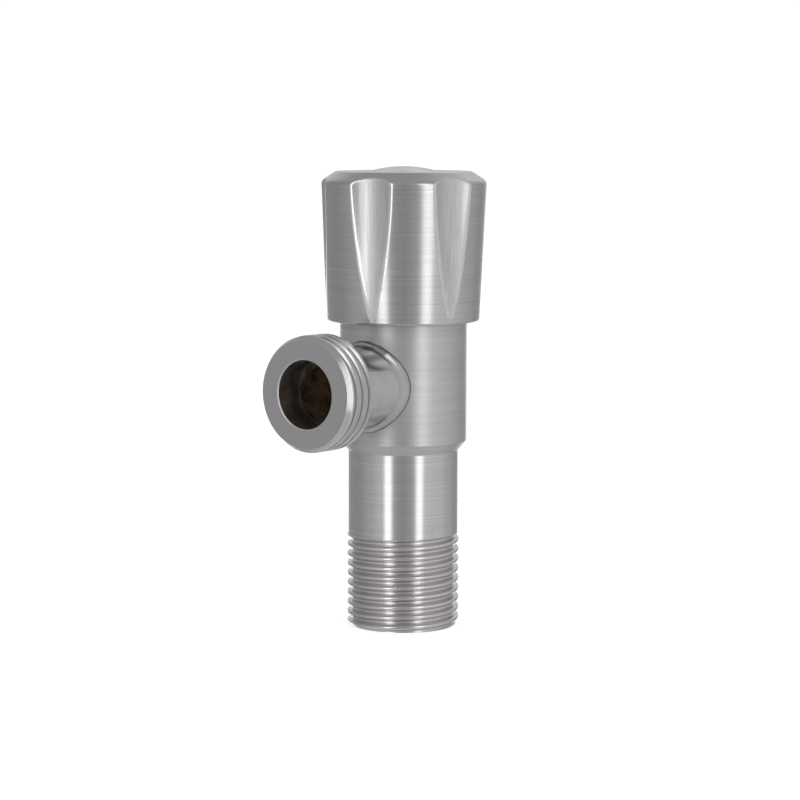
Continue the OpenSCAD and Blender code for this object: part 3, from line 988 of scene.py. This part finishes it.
def make_world():
    """White surroundings for the camera, and a grey room for the reflections."""
    white = 1.05
    world = bpy.data.worlds.new("studio")
    bpy.context.scene.world = world
    world.use_nodes = True
    nodes = world.node_tree.nodes
    links = world.node_tree.links
    nodes.clear()

    def node(kind, **values):
        made = nodes.new("ShaderNode" + kind)
        for name, value in values.items():
            setattr(made, name, value)
        return made

    place = node("TexCoord").outputs["Generated"]

    def facing(azimuth, elevation):
        """Cosine of the angle between a ray and a place in the studio."""
        dot = node("VectorMath", operation="DOT_PRODUCT")
        links.new(place, dot.inputs[0])
        dot.inputs[1].default_value = studio_direction(azimuth, elevation)
        return dot.outputs["Value"]

    def joined(operation, first, second):
        math = node("Math", operation=operation)
        links.new(first, math.inputs[0])
        links.new(second, math.inputs[1])
        return math.outputs["Value"]

    def ranged(value, low, high, to_low, to_high, interpolation="LINEAR"):
        spread = node("MapRange", interpolation_type=interpolation)
        for name, number in zip(("From Min", "From Max", "To Min", "To Max"), (low, high, to_low, to_high)):
            spread.inputs[name].default_value = number
        links.new(value, spread.inputs["Value"])
        return spread.outputs["Result"]

    azimuth = joined("ARCTAN2", facing(90, 0), facing(0, 0))
    walls = node("ValToRGB")
    walls.color_ramp.interpolation = "EASE"
    while len(walls.color_ramp.elements) < len(WALLS):
        walls.color_ramp.elements.new(1)
    for stop, (angle, level) in zip(walls.color_ramp.elements, WALLS):
        stop.position = (angle + 180) / 360
        stop.color = (level, level, level, 1)
    links.new(ranged(azimuth, -pi, pi, 0, 1), walls.inputs["Fac"])
    room = walls.outputs["Color"]
    for elevation, shade_there in ((90, CEILING_SHADE), (-90, GROUND_SHADE)):
        share = ranged(facing(0, elevation), WALL_TOP, CEILING_START, 0, 1, "SMOOTHSTEP")
        mix = node("Mix")
        links.new(share, mix.inputs["Factor"])
        links.new(room, mix.inputs[2])
        mix.inputs[3].default_value = shade_there
        room = mix.outputs[0]
    for direction, low, extra in GLOWS:
        room = joined("ADD", room, ranged(facing(*direction), low, 1, 0, extra, "SMOOTHSTEP"))
    path = node("LightPath")
    mix = node("Mix")
    links.new(path.outputs["Is Camera Ray"], mix.inputs["Factor"])
    links.new(room, mix.inputs[2])
    mix.inputs[3].default_value = white
    background = node("Background")
    background.inputs["Color"].default_value = (1, 1, 1, 1)
    links.new(mix.outputs[0], background.inputs["Strength"])
    output = node("OutputWorld")
    links.new(background.outputs["Background"], output.inputs["Surface"])


def make_lights():
    """Two tall strips for the bands of light, two low ones behind, and a faint one for the top's edge."""
    softbox("strip_left", -31, 15, 1.2, 0.34, 2, 3.2)
    softbox("strip_right", 34, 15, 1.2, 0.34, 2, 2.7)
    softbox("strip_back_left", -165, -14, 1.2, 0.2, 0.6, 0.6)
    softbox("strip_back_right", 165, -14, 1.2, 0.2, 0.6, 0.6)
    softbox("rim_light", 180, 32, 1.2, 0.6, 0.12, 0.22)


# ---- Assembly ----

steel = (0.602, 0.592, 0.606)
body_steel = turned_metal("brushed_body", steel, 0.45, VALVE_AXIS, 0.6)
neck_steel = turned_metal("brushed_neck", steel, 0.24, VALVE_AXIS, 0.6)
thread_steel = turned_metal(
    "turned_thread", (0.65, 0.627, 0.634), 0.22, VALVE_AXIS, groove=3e-6, spacing=0.0003, chatter=1.6e-5
)
# Insides painted at half the steel's shade: painted shade in the bores, the chamber and the handle's cavity
inside_painted_shade = turned_metal("turned_bore", tint(steel, 0.5), 0.35, VALVE_AXIS)
outlet_face_steel = turned_metal(
    "outlet_face", tint(steel, 0.77), 0.45, OUTLET_AXIS, groove=1.2e-6, contrast=0.05
)
outlet_thread_steel = turned_metal(
    "outlet_thread", steel, 0.24, OUTLET_AXIS, groove=4e-6, spacing=0.0003, chatter=1.2e-5
)
# Thread roots painted darker than the crests: painted shade in the grooves
outlet_root_painted_shade = turned_metal("outlet_thread_root", tint(steel, 0.45), 0.35, OUTLET_AXIS)
barrel_steel = polished_metal("polished_barrel", tint(steel, 1.06), 0.14)
weld_steel = polished_metal("polished_weld", tint(steel, 0.77), 0.18, 2.5e-5)
# The bead's foot is painted dark: painted shade in the crease where the bead meets the body
crease_painted_shade = polished_metal("weld_crease", tint(steel, 0.3), 0.4, 2.5e-5)
# The bore and the water way are painted very dark: painted shade inside them, with heat stains from the weld
outlet_bore_shade_and_stains = dark_bore("outlet_bore", (0.045, 0.04, 0.038), (0.19, 0.155, 0.125))
outlet_way_shade_and_stains = dark_bore("outlet_way", (0.05, 0.043, 0.04), (0.46, 0.34, 0.22))
# The bore's lip: burnished, and painted lighter as a painted highlight
lip_burnish_and_highlight = polished_metal("burnished_lip", tint(steel, 1.05), 0.3)
land_steel = turned_metal("brushed_land", tint(steel, 0.93), 0.26, VALVE_AXIS, 0.6)
flute_steel = fluted_metal("brushed_flute", steel, 0.27, 0.6)
# Flute edges: polished, and painted lighter than the steel as a painted highlight
edge_polish_and_highlight = polished_metal("polished_edge", tint(steel, 1.15), 0.16)
top_steel = turned_metal("turned_top", steel, 0.28, VALVE_AXIS, 0.6)
brass = turned_metal("turned_brass", (0.78, 0.60, 0.30), 0.24, VALVE_AXIS, groove=4e-6)
bright_steel = turned_metal("bright_steel", (0.68, 0.68, 0.69), 0.16, VALVE_AXIS, groove=2e-6)
ceramic = moulded("ceramic", (0.9, 0.89, 0.85), 0.18, 1e-6, 0.0002)
rubber = moulded("rubber", (0.025, 0.025, 0.027), 0.55, 6e-6, 0.0003)
nylon = moulded("nylon", (0.82, 0.81, 0.77), 0.42, 5e-6, 0.0006)


# Each of these picks the finish of a face from where its middle is. near is the slack, in millimetres, with
# which that place is compared.


def body_finish(face):
    near = 0.02
    centre = face.center / MM
    radius = hypot(centre.x, centre.y)
    in_inlet = radius < INLET_BORE_R + INLET_MOUTH + near
    in_chamber = radius < TAPPED_R + near and centre.z > SEAT_Z - near
    # Faces inside the inlet and the chamber get the painted shade
    if in_inlet or in_chamber:
        return inside_painted_shade
    if centre.z < INLET_THREAD_END:
        return thread_steel
    return neck_steel if centre.z < SHOULDER_Z else body_steel


def outlet_finish(face):
    near = 0.01
    centre = face.center / MM
    radius = hypot(centre.x, centre.z - OUTLET_Z)
    distance = -centre.y
    if radius < OUTLET_BORE_R + OUTLET_LIP_ROUND - near:
        if distance > OUTLET_REACH - OUTLET_LIP_ROUND + near:
            return lip_burnish_and_highlight
        in_mouth = distance > OUTLET_REACH - OUTLET_BORE_L - near
        return outlet_bore_shade_and_stains if in_mouth else outlet_way_shade_and_stains
    if distance > OUTLET_REACH - near:
        return outlet_face_steel
    if distance < OUTLET_HEAD_S + near:
        return barrel_steel
    # Faces deep in the grooves get the painted shade
    in_shaded_groove = radius < THREAD_R - SHADED_GROOVE_DEPTH and distance < OUTLET_REACH - OUTLET_BEVEL_L
    return outlet_root_painted_shade if in_shaded_groove else outlet_thread_steel


def weld_finish(face):
    row = face.index % (WELD_ROWS + 1)
    # The rows nearest the body get the painted shade of the crease
    return crease_painted_shade if row < PAINTED_SHADE_ROWS else weld_steel


def shell_finish(face):
    near = 0.02
    inside_margin = 0.1
    centre = face.center / MM
    radius = hypot(centre.x, centre.y)
    # Faces in the cavity get the painted shade
    if radius < CAVITY_R + inside_margin and centre.z < CAVITY_TOP + inside_margin:
        return inside_painted_shade
    if centre.z > TOP_Z - near:
        return top_steel
    sector = 2 * pi / FLUTES
    angle = atan2(centre.y, centre.x) - FLUTE_TURN
    offset = (angle + sector / 2) % sector - sector / 2
    gap = flute_radius(offset, centre.z) - land_radius(centre.z)
    # The edge faces get the polish and the painted highlight
    on_edge = abs(gap) < POLISHED_HIGHLIGHT_SHARE * flute_softness(centre.z)
    if on_edge and centre.z > FOOT_Z + POLISHED_HIGHLIGHT_START:
        return edge_polish_and_highlight
    return flute_steel if gap < 0 else land_steel


body = make_body()
paint(body, [body_steel, thread_steel, inside_painted_shade, neck_steel], body_finish)
install(body, "valve_body", "body")

outlet = make_outlet()
outlet_materials = [
    outlet_face_steel,
    outlet_thread_steel,
    barrel_steel,
    outlet_bore_shade_and_stains,
    outlet_root_painted_shade,
    outlet_way_shade_and_stains,
    lip_burnish_and_highlight,
]
paint(outlet, outlet_materials, outlet_finish)
install(outlet, "outlet_nipple", "body")

weld = make_weld()
paint(weld, [weld_steel, crease_painted_shade], weld_finish)
install(weld, "outlet_weld", "body")

shell = make_shell()
paint(shell, [land_steel, flute_steel, edge_polish_and_highlight, top_steel, inside_painted_shade], shell_finish)
install(shell, "handle_shell", "handle")

cap = make_cap()
paint(cap, [top_steel], lambda face: top_steel)
install(cap, "handle_cap", "handle")

inner_finishes = {
    "cartridge_body": brass,
    "spindle": brass,
    "stop_washer": brass,
    "bonnet_gasket": rubber,
    "seat_seal": rubber,
    "spindle_oring_lower": rubber,
    "spindle_oring_upper": rubber,
    "seal_support_ring": nylon,
    "thrust_washer": nylon,
    "handle_insert": nylon,
    "fixed_disc": ceramic,
    "moving_disc": ceramic,
    "retaining_clip": bright_steel,
    "handle_screw": bright_steel,
    "lock_washer": bright_steel,
}
for node_name, material in inner_finishes.items():
    materials = frame["nodes"][node_name].data.materials
    materials.clear()
    materials.append(material)

make_floor()
make_world()
make_lights()
make_camera()
bpy.context.scene.view_settings.view_transform = "Standard"
